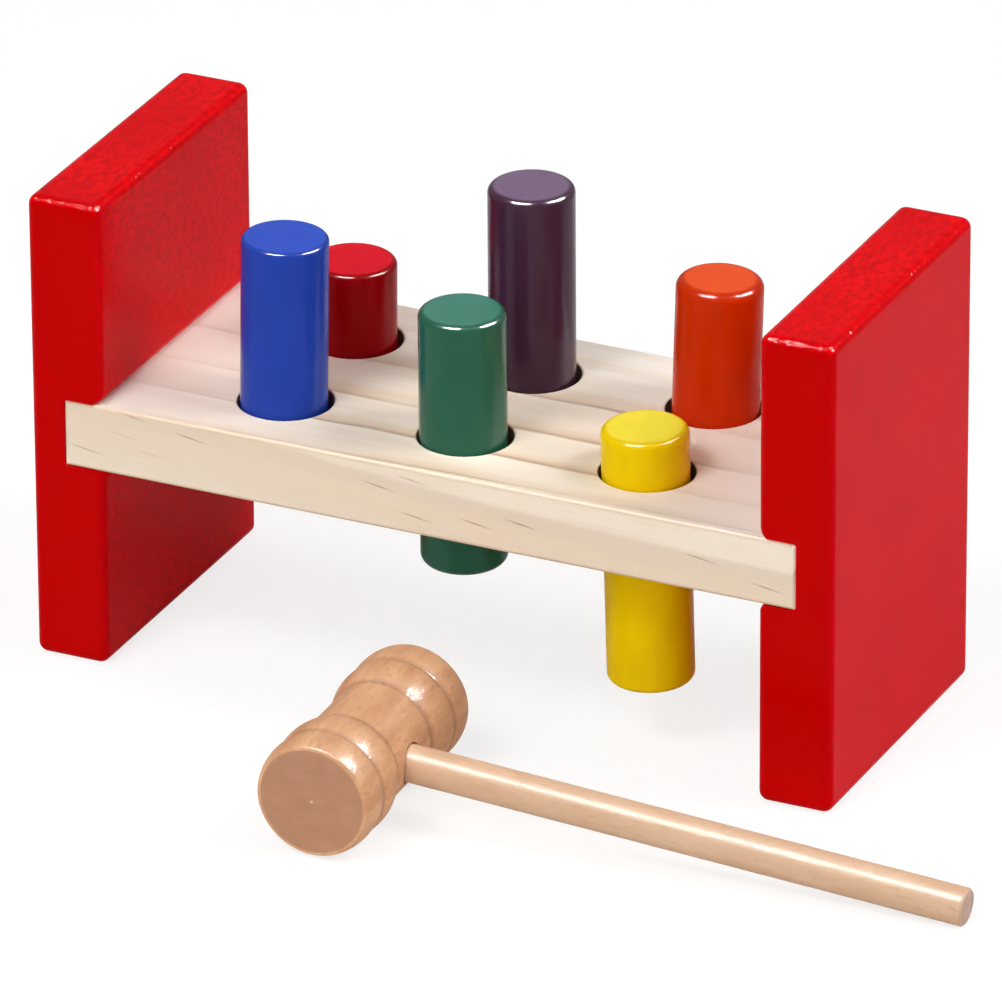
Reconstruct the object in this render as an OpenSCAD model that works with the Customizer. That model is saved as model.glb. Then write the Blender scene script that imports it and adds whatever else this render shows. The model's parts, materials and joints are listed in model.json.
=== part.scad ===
// Peg pounding bench: a drilled board glued between end panels, coloured pegs and a turned mallet.
// The bench stands the same way up on either end of its panels. A child drives the pegs
// through the board with the mallet, turns the bench over and starts again.
// The origin lies on the floor, in the middle of the whole set. +X runs along the bench,
// +Y goes to the back and +Z is up.

/* [Bench] */
// Length of the bench, from one panel's outer face to the other's
bench_length = 216.5; // [196:0.5:260]
// Depth of the bench, front to back
bench_depth = 85.5; // [78:0.5:110]
// Height of the end panels
bench_height = 125; // [120:0.5:160]
// Thickness of each end panel
panel_thickness = 19.7; // [14:0.1:26]
// Rounding of the end panels' edges
panel_round = 2.7; // [0.5:0.1:4]
// Thickness of the drilled board
board_thickness = 17.9; // [14:0.1:22]
// Rounding of the board's edges
board_round = 1.2; // [0.3:0.1:3]
// Depth of the housing that holds the board's end in each panel
housing_depth = 10.3; // [5:0.1:12]

/* [Holes] */
// Distance between neighbouring holes along the board
hole_pitch = 49; // [42:0.5:54]
// Distance from the middle of each row to the nearest long edge of the board
row_edge = 22.95; // [18:0.05:26]
// Radial play of a peg in its hole
peg_play = 1.1; // [0.6:0.1:1.4]
// Rounding of the holes' rims
hole_round = 0.7; // [0.3:0.1:1.5]

/* [Pegs] */
// Diameter of the pegs
peg_diameter = 21.8; // [19:0.1:24]
// Length of the pegs
peg_length = 67.8; // [65.5:0.1:70]
// Rounding of both ends of a peg
peg_round = 1.8; // [0.5:0.1:4]
// Height of the blue peg's top above the board
blue_peg_height = 44.4; // [0:0.1:51.5]
// Height of the green peg's top above the board
green_peg_height = 34.2; // [0:0.1:51.5]
// Height of the yellow peg's top above the board
yellow_peg_height = 12.3; // [0:0.1:51.5]
// Height of the red peg's top above the board
red_peg_height = 22; // [0:0.1:51.5]
// Height of the purple peg's top above the board
purple_peg_height = 51.3; // [0:0.1:51.5]
// Height of the orange peg's top above the board
orange_peg_height = 35.5; // [0:0.1:51.5]

/* [Rubber rings] */
// Thickness of the round rubber that a ring is made of
ring_section = 3; // [2.4:0.1:4]
// Radial running clearance of a peg in its ring
ring_clearance = 0.05; // [0.02:0.01:0.1]
// Room that the groove leaves round a ring
ring_slack = 0.2; // [0.1:0.05:0.5]

/* [Mallet head] */
// Length of the mallet's head
head_length = 61; // [56:0.5:80]
// Diameter of the head over its beads
head_diameter = 30.6; // [29:0.1:36]
// Diameter of the head's waist at its middle
waist_diameter = 26.8; // [24:0.1:28]
// How much the waist swells from its middle to the beads
waist_swell = 0.4; // [0.1:0.05:0.6]
// Radius of the crown of each bead, along the head
bead_crown = 15; // [11:0.5:15]
// Distance from a striking face to the crown of the end bead
end_bead_place = 5.2; // [4:0.1:6.5]
// Distance from a striking face to the crown of the inner bead
inner_bead_place = 13.6; // [11:0.1:15]
// Chamfer round each striking face
face_chamfer = 0.5; // [0.2:0.1:1.5]
// Depth of the handle's socket, from the waist inwards
socket_depth = 20; // [12:0.5:22]
// Distance from the middle of the head to the socket, along the head
socket_offset = -0.7; // [-4:0.1:4]

/* [Mallet handle] */
// Diameter of the handle
handle_diameter = 9.6; // [8:0.1:12]
// Length of the handle, with the part in the socket
handle_length = 164.9; // [130:0.5:220]
// Chamfer at both ends of the handle
handle_chamfer = 0.5; // [0.2:0.1:1.5]
// Clearance of the handle in its socket, all round and at the bottom
glue_gap = 0.1; // [0.05:0.01:0.2]

/* [Mallet place] */
// Distance from the bench's front to the mallet's head
mallet_gap = 11; // [5:0.5:60]
// Distance from the middle of the bench to the mallet's head, along the bench
mallet_shift = 2.8; // [-60:0.1:40]
// Turn of the mallet on the floor, in degrees
mallet_turn = 1.44; // [-8:0.01:5]

/* [Hidden] */
$fn = 96;
// Overrun of the cuts past the faces that they leave
cut_over = 1;

// Holes are counted from the left, the front row first, and each is known by its peg's colour
HOLE_COLUMNS = 3;
HOLE_ROWS = 2;
HOLE_COLOURS = ["blue", "green", "yellow", "red", "purple", "orange"];
peg_heights = [
    blue_peg_height, green_peg_height, yellow_peg_height,
    red_peg_height, purple_peg_height, orange_peg_height
];

// Each peg leans a little in its loose hole. These are the places of its axis in the hole at the
// board's top face and at its underside, as shares of the peg's play.
lean_top_shares = [
    [-0.10, -0.65], [-0.08, -0.84], [0.07, -0.77],
    [-0.10, -0.75], [0.05, -0.78], [0.67, -0.49]
];
lean_foot_shares = [
    [-0.37, -0.78], [-0.04, -0.82], [0.41, -0.61],
    [-0.23, -0.81], [0.06, -0.78], [0.24, -0.69]
];

// Bench
board_length = bench_length - 2*panel_thickness + 2*housing_depth;
board_middle = bench_height/2;
board_top = board_middle + board_thickness/2;
peg_r = peg_diameter/2;
hole_r = peg_r + peg_play;
row_spacing = bench_depth - 2*row_edge;

// Rings
ring_middle_r = peg_r + ring_clearance + ring_section/2;
groove_height = ring_section + 2*ring_slack;
groove_r = peg_r + ring_clearance + ring_section + peg_play + ring_slack;

// Mallet
head_r = head_diameter/2;
waist_r = waist_diameter/2;
handle_r = handle_diameter/2;
end_bead_r = head_r - bead_crown + sqrt(pow(bead_crown, 2) - pow(end_bead_place, 2));
waist_half = head_length/2 - inner_bead_place;
cove_r = (pow(waist_half, 2) + pow(waist_swell, 2))/(2*waist_swell);
handle_start = waist_r - socket_depth + glue_gap;
handle_reach = handle_start + handle_length;
// The handle drops from the head until the rim of its free end rests on the floor
rim_reach = handle_reach - handle_chamfer;
handle_drop = asin(head_r/norm([rim_reach, handle_r])) - atan(handle_r/rim_reach);

// The bench's middle and the mallet's, seen from the middle of the whole set
mallet_back = bench_depth/2 + mallet_gap + head_length/2;
handle_end = mallet_shift + (handle_reach*cos(handle_drop) + handle_r*sin(handle_drop))*cos(mallet_turn);
head_front = mallet_back + head_length/2*cos(mallet_turn) + head_r*abs(sin(mallet_turn));
bench_place = [(bench_length/2 - max(bench_length/2, handle_end))/2, (head_front - bench_depth/2)/2, 0];
mallet_place = bench_place + [mallet_shift, -mallet_back, head_r];

function hole_number(colour) = search([colour], HOLE_COLOURS)[0];

function hole_place(i) = [
    (i%HOLE_COLUMNS - (HOLE_COLUMNS - 1)/2)*hole_pitch,
    (floor(i/HOLE_COLUMNS) - (HOLE_ROWS - 1)/2)*row_spacing
];

// Rectangle about the origin with round corners
module round_rectangle(size, r) {
    square([size.x, size.y - 2*r], center = true);
    square([size.x - 2*r, size.y], center = true);
    for (x = [-1, 1], y = [-1, 1])
        translate([x*(size.x/2 - r), y*(size.y/2 - r)]) circle(r);
}

// Prism about the origin whose outline lies across X
module prism_x(length)
    rotate([90, 0, 90]) linear_extrude(length, center = true) children();

// Prism about the origin whose outline lies across Y
module prism_y(length)
    rotate([90, 0, 0]) linear_extrude(length, center = true) children();

// Front outline of the right end panel, about its own middle, with the board's housing.
// The housing's mouth is rounded like the panel's other edges.
module panel_outline() {
    mouth = -panel_thickness/2;
    difference() {
        round_rectangle([panel_thickness, bench_height], panel_round);
        translate([mouth - cut_over, -board_thickness/2])
            square([cut_over + housing_depth, board_thickness]);
        for (side = [-1, 1])
            difference() {
                translate([mouth, side*(board_thickness/2 + panel_round/2)])
                    square([2*panel_round, panel_round], center = true);
                translate([mouth + panel_round, side*(board_thickness/2 + panel_round)])
                    circle(panel_round);
            }
    }
}

// Right end panel about its own middle, with every edge rounded
module end_panel()
    intersection() {
        prism_y(bench_depth + 2*cut_over) panel_outline();
        prism_x(panel_thickness + 2*cut_over)
            round_rectangle([bench_depth, bench_height], panel_round);
        linear_extrude(bench_height + 2*cut_over, center = true)
            round_rectangle([panel_thickness, bench_depth], panel_round);
    }

module right_end_panel()
    color([0.76, 0.02, 0.03])
        translate(bench_place + [(bench_length - panel_thickness)/2, 0, board_middle])
            end_panel();

module left_end_panel()
    color([0.76, 0.02, 0.03])
        translate(bench_place + [-(bench_length - panel_thickness)/2, 0, board_middle])
            mirror([1, 0, 0]) end_panel();

// All that a hole takes out of the board: the bore, its round rims and the ring's groove
module hole_cut()
    rotate_extrude() {
        translate([0, -board_thickness/2 - cut_over])
            square([hole_r, board_thickness + 2*cut_over]);
        for (side = [-1, 1])
            difference() {
                translate([hole_r + hole_round/2, side*board_thickness/2])
                    square([hole_round, 2*hole_round], center = true);
                translate([hole_r + hole_round, side*(board_thickness/2 - hole_round)])
                    circle(hole_round);
            }
        translate([0, -groove_height/2])
            square([groove_r - groove_height/2, groove_height]);
        translate([groove_r - groove_height/2, 0]) circle(d = groove_height);
    }

module board()
    color([0.93, 0.85, 0.74])
        translate(bench_place + [0, 0, board_middle])
            difference() {
                intersection() {
                    prism_y(bench_depth + 2*cut_over)
                        round_rectangle([board_length, board_thickness], board_round);
                    prism_x(board_length + 2*cut_over)
                        round_rectangle([bench_depth, board_thickness], board_round);
                    linear_extrude(board_thickness + 2*cut_over, center = true)
                        round_rectangle([board_length, bench_depth], board_round);
                }
                for (i = [0:HOLE_COLUMNS*HOLE_ROWS - 1])
                    translate(hole_place(i)) hole_cut();
            }

// Peg of one colour, on the leaning line through its two places in its hole
module peg(colour) {
    i = hole_number(colour);
    top = hole_place(i) + peg_play*lean_top_shares[i];
    lean = peg_play*(lean_top_shares[i] - lean_foot_shares[i]);
    translate(bench_place + [top.x, top.y, board_top])
        rotate([0, atan(norm(lean)/board_thickness), atan2(lean.y, lean.x)])
            translate([0, 0, peg_heights[i] - peg_length])
                rotate_extrude() {
                    translate([0, peg_round]) square([peg_r, peg_length - 2*peg_round]);
                    square([peg_r - peg_round, peg_length]);
                    for (end = [peg_round, peg_length - peg_round])
                        translate([peg_r - peg_round, end])
                            intersection() {
                                circle(peg_round);
                                translate([0, -peg_round]) square(2*peg_round);
                            }
                }
}

module blue_peg() color([0.13, 0.24, 0.66]) peg("blue");
module green_peg() color([0.10, 0.38, 0.27]) peg("green");
module yellow_peg() color([0.93, 0.82, 0.05]) peg("yellow");
module red_peg() color([0.72, 0.04, 0.06]) peg("red");
module purple_peg() color([0.25, 0.14, 0.25]) peg("purple");
module orange_peg() color([0.84, 0.25, 0.06]) peg("orange");

// Rubber ring of one hole, in its groove halfway down the hole and centred on its peg
module ring(colour)
    color([0.12, 0.12, 0.13]) {
        i = hole_number(colour);
        middle = hole_place(i) + peg_play*(lean_top_shares[i] + lean_foot_shares[i])/2;
        translate(bench_place + [middle.x, middle.y, board_middle])
            rotate_extrude()
                translate([ring_middle_r, 0]) circle(d = ring_section);
    }

module blue_peg_ring() ring("blue");
module green_peg_ring() ring("green");
module yellow_peg_ring() ring("yellow");
module red_peg_ring() ring("red");
module purple_peg_ring() ring("purple");
module orange_peg_ring() ring("orange");

// Puts a mallet piece on the floor. It comes with the head along Y and the handle along X.
module mallet_piece()
    translate(mallet_place)
        rotate([0, handle_drop, mallet_turn])
            children();

// Half section of the turned head, with its axis along Y
module head_outline()
    intersection() {
        union() {
            translate([0, -head_length/2]) square([waist_r, head_length]);
            difference() {
                translate([0, -waist_half]) square([waist_r + waist_swell, 2*waist_half]);
                translate([waist_r + cove_r, 0]) circle(cove_r);
            }
            for (side = [-1, 1], place = [end_bead_place, inner_bead_place])
                translate([head_r - bead_crown, side*(head_length/2 - place)])
                    circle(bead_crown);
        }
        // Flat striking faces, with a chamfer round them
        polygon([
            [0, -head_length/2],
            [end_bead_r - face_chamfer, -head_length/2],
            [end_bead_r - face_chamfer + bead_crown, bead_crown - head_length/2],
            [end_bead_r - face_chamfer + bead_crown, head_length/2 - bead_crown],
            [end_bead_r - face_chamfer, head_length/2],
            [0, head_length/2]
        ]);
    }

module mallet_head()
    color([0.82, 0.62, 0.46])
        mallet_piece()
            difference() {
                rotate([90, 0, 0]) rotate_extrude() head_outline();
                translate([waist_r - socket_depth, socket_offset, 0])
                    rotate([0, 90, 0])
                        cylinder(r = handle_r + glue_gap, h = socket_depth + head_r);
            }

module mallet_handle()
    color([0.86, 0.68, 0.52])
        mallet_piece()
            translate([handle_start, socket_offset, 0])
                rotate([0, 90, 0])
                    rotate_extrude()
                        polygon([
                            [0, 0],
                            [handle_r - handle_chamfer, 0],
                            [handle_r, handle_chamfer],
                            [handle_r, handle_length - handle_chamfer],
                            [handle_r - handle_chamfer, handle_length],
                            [0, handle_length]
                        ]);

board();
left_end_panel();
right_end_panel();
blue_peg();
green_peg();
yellow_peg();
red_peg();
purple_peg();
orange_peg();
blue_peg_ring();
green_peg_ring();
yellow_peg_ring();
red_peg_ring();
purple_peg_ring();
orange_peg_ring();
mallet_head();
mallet_handle();
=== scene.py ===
# %% [markdown]
# # A peg pounding bench, piece by piece
# The toy is a pine board glued between two red end panels, with six painted pegs in loose
# holes and a turned beech mallet in front. The engineering model is loaded first and never
# changes. The board and the rings in its holes keep their meshes from it. The panels, the pegs
# and the mallet are made again over theirs with edges of their own, and every piece gets a real
# finish.

# %% Load the engineering model
import json
import math

import bmesh
import bpy
from mathutils import Matrix, Vector, noise


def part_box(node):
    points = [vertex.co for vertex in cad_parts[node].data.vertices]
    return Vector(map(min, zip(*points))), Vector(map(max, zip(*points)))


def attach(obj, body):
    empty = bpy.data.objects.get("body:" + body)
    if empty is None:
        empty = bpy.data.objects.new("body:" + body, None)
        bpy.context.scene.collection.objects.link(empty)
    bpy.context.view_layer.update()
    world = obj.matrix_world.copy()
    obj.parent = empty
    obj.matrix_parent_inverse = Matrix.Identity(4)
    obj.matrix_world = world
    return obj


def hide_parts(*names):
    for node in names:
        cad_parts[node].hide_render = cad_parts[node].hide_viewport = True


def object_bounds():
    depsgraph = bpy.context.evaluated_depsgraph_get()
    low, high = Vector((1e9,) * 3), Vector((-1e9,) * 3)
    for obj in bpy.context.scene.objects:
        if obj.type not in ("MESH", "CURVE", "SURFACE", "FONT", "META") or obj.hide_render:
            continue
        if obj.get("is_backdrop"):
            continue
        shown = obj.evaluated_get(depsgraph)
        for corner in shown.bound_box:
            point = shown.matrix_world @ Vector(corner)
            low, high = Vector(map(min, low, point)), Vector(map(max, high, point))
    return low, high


MM = 0.001
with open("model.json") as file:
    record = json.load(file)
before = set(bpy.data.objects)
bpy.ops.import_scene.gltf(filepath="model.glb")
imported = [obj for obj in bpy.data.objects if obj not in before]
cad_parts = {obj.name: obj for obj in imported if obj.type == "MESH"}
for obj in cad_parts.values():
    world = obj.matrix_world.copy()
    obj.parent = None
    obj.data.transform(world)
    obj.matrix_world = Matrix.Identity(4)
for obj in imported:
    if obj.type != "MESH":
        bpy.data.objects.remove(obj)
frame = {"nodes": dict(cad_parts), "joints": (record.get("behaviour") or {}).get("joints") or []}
cad_low, cad_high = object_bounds()
print("nodes:", len(frame["nodes"]), "size in mm:", [round(s / MM, 1) for s in cad_high - cad_low])

# %% [markdown]
# ## The camera
# The picture was taken from the bench's right front corner with a long lens, so upright edges
# stay almost parallel. A camera has a place, three directions and a lens. Writing the three
# directions down, instead of aiming at a target, also keeps the slight roll of the picture.

# %% Set up the camera
CAMERA_PLACE = Vector((1135.85, -2419.40, 1350.97)) * MM
CAMERA_BACK = Vector((0.3855, -0.8146, 0.4333)).normalized()
CAMERA_RIGHT = Vector((0.9050, 0.4255, -0.0053))
LENS_MM = 437.7
SENSOR_MM = 36


def camera_turn():
    """Three square directions, right, up and back, as the camera's rotation."""
    right = (CAMERA_RIGHT - CAMERA_BACK * CAMERA_RIGHT.dot(CAMERA_BACK)).normalized()
    up = CAMERA_BACK.cross(right)
    return Matrix((right, up, CAMERA_BACK)).transposed()


camera = bpy.data.objects.new("camera", bpy.data.cameras.new("camera"))
bpy.context.scene.collection.objects.link(camera)
camera.matrix_world = Matrix.Translation(CAMERA_PLACE) @ camera_turn().to_4x4()
camera.data.lens = LENS_MM
camera.data.sensor_width = SENSOR_MM
camera.data.clip_start = 0.1
camera.data.clip_end = 50
bpy.context.scene.camera = camera
bpy.context.scene.view_settings.view_transform = "Standard"
print("camera distance in m:", round(CAMERA_PLACE.length, 2))

# %% [markdown]
# ## Building shaders
# Every finish here is a small network of nodes around one Principled shader. Three helpers
# keep the networks readable: one makes the finish, one adds a node and wires its inputs, and
# one does a single step of arithmetic.


# %% Helpers for finishes
def new_finish(name):
    """A new material, with its node tree and its Principled shader."""
    material = bpy.data.materials.new(name)
    material.use_nodes = True
    tree = material.node_tree
    return material, tree, tree.nodes["Principled BSDF"]


def add(tree, kind, inputs=None, **settings):
    """Adds a node. Each input is a plain value, or another node's output to wire in."""
    made = tree.nodes.new(kind)
    for name, value in settings.items():
        setattr(made, name, value)
    for name, value in (inputs or {}).items():
        if isinstance(value, bpy.types.NodeSocket):
            tree.links.new(value, made.inputs[name])
        else:
            made.inputs[name].default_value = value
    return made


def reckon(tree, operation, first, second=0.0, third=0.0):
    """One step of arithmetic, such as ADD or MULTIPLY, and its result."""
    return add(tree, "ShaderNodeMath", {0: first, 1: second, 2: third}, operation=operation).outputs[0]


print("helpers:", new_finish.__name__, add.__name__, reckon.__name__)

# %% [markdown]
# ## Patterns, colours and bumps
# A pattern starts from a place on the piece. Noise at that place gives a value from 0 to 1,
# and the value is then spread wider, mixed into a colour or raised as a bump. Each of these
# steps is used many times below, so each has its own short helper.


# %% Helpers for patterns
def surface_place(tree, stretch=(1, 1, 1), turn=(0, 0, 0)):
    """The point on the piece, in metres, stretched and turned so that a pattern follows the grain."""
    place = add(tree, "ShaderNodeTexCoord").outputs["Object"]
    return add(
        tree, "ShaderNodeMapping", {"Vector": place, "Scale": stretch, "Rotation": turn}
    ).outputs["Vector"]


def speckle(tree, place, size, detail=2.0, rough=0.5):
    """Soft noise from 0 to 1 whose blobs are about one size across, in metres."""
    return add(
        tree,
        "ShaderNodeTexNoise",
        {"Vector": place, "Scale": 1 / size, "Detail": detail, "Roughness": rough},
    ).outputs["Fac"]


def between(tree, share, low, high, start=0.0, end=1.0):
    """Maps a value from one span to another, and stops at its ends."""
    return add(
        tree,
        "ShaderNodeMapRange",
        {"Value": share, "From Min": start, "From Max": end, "To Min": low, "To Max": high},
    ).outputs["Result"]


print("helpers:", surface_place.__name__, speckle.__name__, between.__name__)


# %% Helpers for colours and bumps
def blend_colours(tree, share, first, second, way="MIX"):
    """Mixes two colours by a share from 0 to 1."""
    mixer = add(tree, "ShaderNodeMix", data_type="RGBA", blend_type=way)
    for socket, value in ((0, share), (6, first), (7, second)):
        if isinstance(value, bpy.types.NodeSocket):
            tree.links.new(value, mixer.inputs[socket])
        else:
            mixer.inputs[socket].default_value = value
    return mixer.outputs[2]


def relief(tree, height, depth, under=None):
    """Turns a height from 0 to 1 into a bump of a real depth, over an earlier bump if given."""
    inputs = {"Height": height, "Distance": depth, "Strength": 1.0}
    if under is not None:
        inputs["Normal"] = under
    return add(tree, "ShaderNodeBump", inputs).outputs["Normal"]


def paint(red, green, blue):
    """A colour given from 0 to 255, as the light shares that a shader works with."""
    shares = [value / 255 for value in (red, green, blue)]
    return tuple(s / 12.92 if s <= 0.04045 else ((s + 0.055) / 1.055) ** 2.4 for s in shares) + (1.0,)


print("a mid grey of 128 holds a light share of", round(paint(128, 128, 128)[0], 3))

# %% [markdown]
# ## Red enamel
# The panels were sprayed. Paint on wood dries with a faint orange peel, which shows most on
# the end grain and on the faces that weren't rubbed down, and hardly on the smooth outer
# faces. The panels carry that as a value on each vertex, called orange_peel, and the finish
# uses it to set how deep its ripples are. The same value paints the top and foot a lighter red
# and the outer faces a darker one, as painted light and painted shade. Two more values,
# front_edge and round_edge, say where the front and back faces are painted a darker red, as
# painted shade, and where the paint has gathered in drops along the upper rounded edges.
# Those edges are also painted a brighter red, as a painted highlight.


# %% Red enamel
PEEL_SIZE = 1.4 * MM
DROP_SIZE = 1.3 * MM
ENAMEL_CLOUD_SIZE = 30 * MM
PEEL_DEPTH = 0.12 * MM
DROP_HEIGHT = 4.0
ENAMEL_GLOSS = 0.03
SHADED_SIDE_RED = paint(225, 1, 18)
LIT_TOP_RED = paint(240, 1, 12)
DIMPLE_RED = paint(180, 1, 12)
CLOUD_RED = paint(208, 1, 12)
SHADED_FRONT_RED = paint(195, 0, 1)
CREST_HIGHLIGHT_RED = paint(240, 1, 8)


def red_enamel():
    """Sprayed paint that lies smooth, peels like an orange or gathers in drops, by the panel's marks, which
    also paint in light and shade.
    """
    material, tree, shader = new_finish("red_enamel")
    peel = add(tree, "ShaderNodeAttribute", attribute_name="orange_peel").outputs["Fac"]
    front = add(tree, "ShaderNodeAttribute", attribute_name="front_edge").outputs["Fac"]
    round_edge = add(tree, "ShaderNodeAttribute", attribute_name="round_edge").outputs["Fac"]
    blotch = speckle(tree, surface_place(tree, (1, 0.5, 1)), PEEL_SIZE, 5.0, 0.65)
    cloud = speckle(tree, surface_place(tree), ENAMEL_CLOUD_SIZE, 1.0)
    patch = between(tree, blotch, 0.0, 1.0, 0.42, 0.64)
    strength = reckon(tree, "MULTIPLY", patch, between(tree, peel, 0.0, 0.65, 0.0, 0.6))
    # The top and foot are painted a lighter red and the outer faces a darker one, as painted light and
    # painted shade
    plain = blend_colours(tree, peel, SHADED_SIDE_RED, LIT_TOP_RED)
    colour = blend_colours(tree, strength, plain, DIMPLE_RED)
    colour = blend_colours(tree, between(tree, cloud, 0.0, 0.6, 0.35, 0.7), colour, CLOUD_RED)
    # The front and back faces are painted a darker red, as painted shade
    colour = blend_colours(tree, front, colour, SHADED_FRONT_RED)
    # The upper rounded edges are painted a brighter red, as a painted highlight. The same share also raises
    # the drops in the bump
    crest = between(tree, round_edge, 0.0, 0.8, 0.45, 1.0)
    colour = blend_colours(tree, crest, colour, CREST_HIGHLIGHT_RED)
    tree.links.new(colour, shader.inputs["Base Color"])
    tree.links.new(between(tree, blotch, 0.1, 0.2), shader.inputs["Roughness"])
    drops = reckon(tree, "SUBTRACT", speckle(tree, surface_place(tree), DROP_SIZE, 0.0), 0.5)
    ripples = reckon(tree, "MULTIPLY", blotch, between(tree, peel, 0.05, 0.9))
    height = reckon(tree, "MULTIPLY_ADD", drops, reckon(tree, "MULTIPLY", crest, DROP_HEIGHT), ripples)
    tree.links.new(relief(tree, height, PEEL_DEPTH), shader.inputs["Normal"])
    shader.inputs["Specular IOR Level"].default_value = ENAMEL_GLOSS
    return material


RED_ENAMEL = red_enamel()
print("finish:", RED_ENAMEL.name, "with", len(RED_ENAMEL.node_tree.nodes), "nodes")

# %% [markdown]
# ## Pine
# A board is a slice through a tree, so its pattern can be a slice through a solid one. Growth
# rings are circles round the pith, and the pith of this board lies behind and below it.
# Cutting these rings with the flat top gives straight lines along the board. The front face
# cuts the last ring almost along its skin, and so it shows one broad, slanting band, and the
# whole front is painted lighter, most on that band, as painted light. The holes' walls are
# painted dark brown and the rounded long edges a darker tan, as painted shade. The top is
# painted a touch warmer, and paler towards its ends, as painted light that offsets the pink
# bounce and the shade from the panels.

# %% Where the tree's rings lie in the board
board_low, board_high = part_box("board")
BOARD_MIDDLE = (board_low + board_high) / 2
PITH_BEHIND = 60 * MM
PITH_BELOW = 26.5 * MM
FIRST_RING = 18 * MM
RING_WIDTHS = [width * MM for width in (15.0, 14.9, 15.2, 16.4, 14.7, 14.3)]
RING_SPAN = sum(RING_WIDTHS)
# The tree wasn't straight: its rings drift evenly along the top, and in one eased sweep on the front
TOP_DRIFT = -0.013
FRONT_START = -0.3 * MM
FRONT_DRIFT = 2.3 * MM
DRIFT_START = -45 * MM
DRIFT_END = 95 * MM
# How far from the board's middle each face and each change in the wood lies
FRONT_FACE = (board_low.y - board_high.y) / 2
FRONT_BLEND = -30 * MM
FRONT_SKIN = 0.4 * MM
BOARD_HALF = (board_high.z - board_low.z) / 2
PALE_START = 40 * MM
PALE_END = 105 * MM
HOLES_MARGIN = Vector((14, 3, 0)) * MM
HOLES_REACH = (board_high - board_low) / 2 - HOLES_MARGIN
print("rings meet the board out to", round((FIRST_RING + RING_SPAN) / MM, 1), "mm from the pith")


# %% Growth rings
WANDER_SIZE = 7 * MM
WANDER_REACH = 1.1 * MM


def growth_rings(tree, place):
    """Share of the way from the first ring to the last, at each point of the board."""
    along = add(tree, "ShaderNodeSeparateXYZ", {"Vector": place}).outputs
    across = reckon(tree, "SUBTRACT", along["Y"], PITH_BEHIND)
    upward = reckon(tree, "ADD", along["Z"], PITH_BELOW)
    square = reckon(tree, "MULTIPLY_ADD", across, across, reckon(tree, "MULTIPLY", upward, upward))
    on_top = reckon(tree, "MULTIPLY", along["X"], TOP_DRIFT)
    left = between(tree, along["X"], 1.0, 0.0, DRIFT_START, DRIFT_END)
    eased = reckon(tree, "SUBTRACT", 1.0, reckon(tree, "MULTIPLY", left, left))
    on_front = reckon(tree, "MULTIPLY_ADD", eased, FRONT_DRIFT, FRONT_START)
    near_front = between(tree, along["Y"], 0.0, 1.0, FRONT_BLEND, FRONT_FACE)
    change = reckon(tree, "MULTIPLY", reckon(tree, "SUBTRACT", on_front, on_top), near_front)
    wander = speckle(tree, surface_place(tree, (0.2, 1, 1)), WANDER_SIZE, 3.0)
    swing = between(tree, wander, -WANDER_REACH, WANDER_REACH, 0.2, 0.8)
    shift = reckon(tree, "MULTIPLY", swing, between(tree, near_front, 1.0, 0.25))
    drift = reckon(tree, "ADD", reckon(tree, "ADD", on_top, change), shift)
    distance = reckon(tree, "ADD", reckon(tree, "SQRT", square), drift)
    return between(tree, distance, 0.0, 1.0, FIRST_RING, FIRST_RING + RING_SPAN)


print("the rings wander by up to", WANDER_REACH / MM, "mm")

# %% Colours of the rings
EARLY_WOOD = paint(249, 237, 221)
MIDDLE_WOOD = paint(246, 232, 214)
TAN_WOOD = paint(227, 201, 171)
LATE_WOOD = paint(190, 158, 128)
INNER_WOOD = paint(254, 246, 236)
# How far out in a ring each shade lies, from 0 at its inner side to 1 at its outer side
RING_SHADES = (
    (0.02, EARLY_WOOD),
    (0.6, MIDDLE_WOOD),
    (0.88, TAN_WOOD),
    (0.965, LATE_WOOD),
    (0.99, LATE_WOOD),
)
FADE_SIZE = 6 * MM


def ring_colours(tree, share, front):
    """Outward, each ring is pale early wood, then tan, then a thin line of late wood.
    The line comes and goes along the top, and stays clear on the front face."""
    ramp = add(tree, "ShaderNodeValToRGB", {"Fac": share})
    stops = ramp.color_ramp.elements
    reached = 0.0
    for width in RING_WIDTHS:
        step = width / RING_SPAN
        for part, colour in RING_SHADES:
            stops.new(reached + part * step).color = colour
        reached += step
    stops[0].color = EARLY_WOOD
    stops[len(stops) - 1].color = EARLY_WOOD
    faded = speckle(tree, surface_place(tree, (0.14, 1, 1)), FADE_SIZE, 2.0)
    fading = reckon(
        tree, "MULTIPLY", between(tree, faded, 0.0, 0.7, 0.4, 0.66), reckon(tree, "SUBTRACT", 1.0, front)
    )
    rings = blend_colours(tree, fading, ramp.outputs["Color"], MIDDLE_WOOD)
    return blend_colours(tree, between(tree, share, 0.85, 0.0, 0.33, 0.48), rings, INNER_WOOD)


print("shades in each ring:", len(RING_SHADES))

# %% [markdown]
# ## Resin flecks, painted light and painted shade
# A few short, dark dashes follow the grain on the front face. Each is a stretched blob at a
# given place, since chance would scatter them where the real board has none.
# Fibres, broad streaks, painted light and painted shade then go over the rings, one by one.

# %% Resin flecks
# Each is its place on the front face, in mm along and up from the board's middle, and its strength
FLECKS = [
    (-80.0, 7.9, 0.8), (-63.8, 5.2, 0.9), (-82.6, 2.4, 0.35), (-93.2, -3.3, 0.7), (-75.0, -1.3, 0.3),
    (-12.6, 2.4, 0.9), (-3.8, 5.8, 0.6), (13.7, -2.6, 0.9), (-2.6, -4.0, 0.8), (25.6, -0.3, 1.0),
    (73.7, 0.2, 1.0), (91.2, -4.2, 0.9),
]
FLECK_LENGTH = 9 * MM
FLECK_WIDTH = 0.5 * MM
FLECK_DEPTH = 1.5 * MM
GRAIN_SLOPE = -0.15


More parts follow.
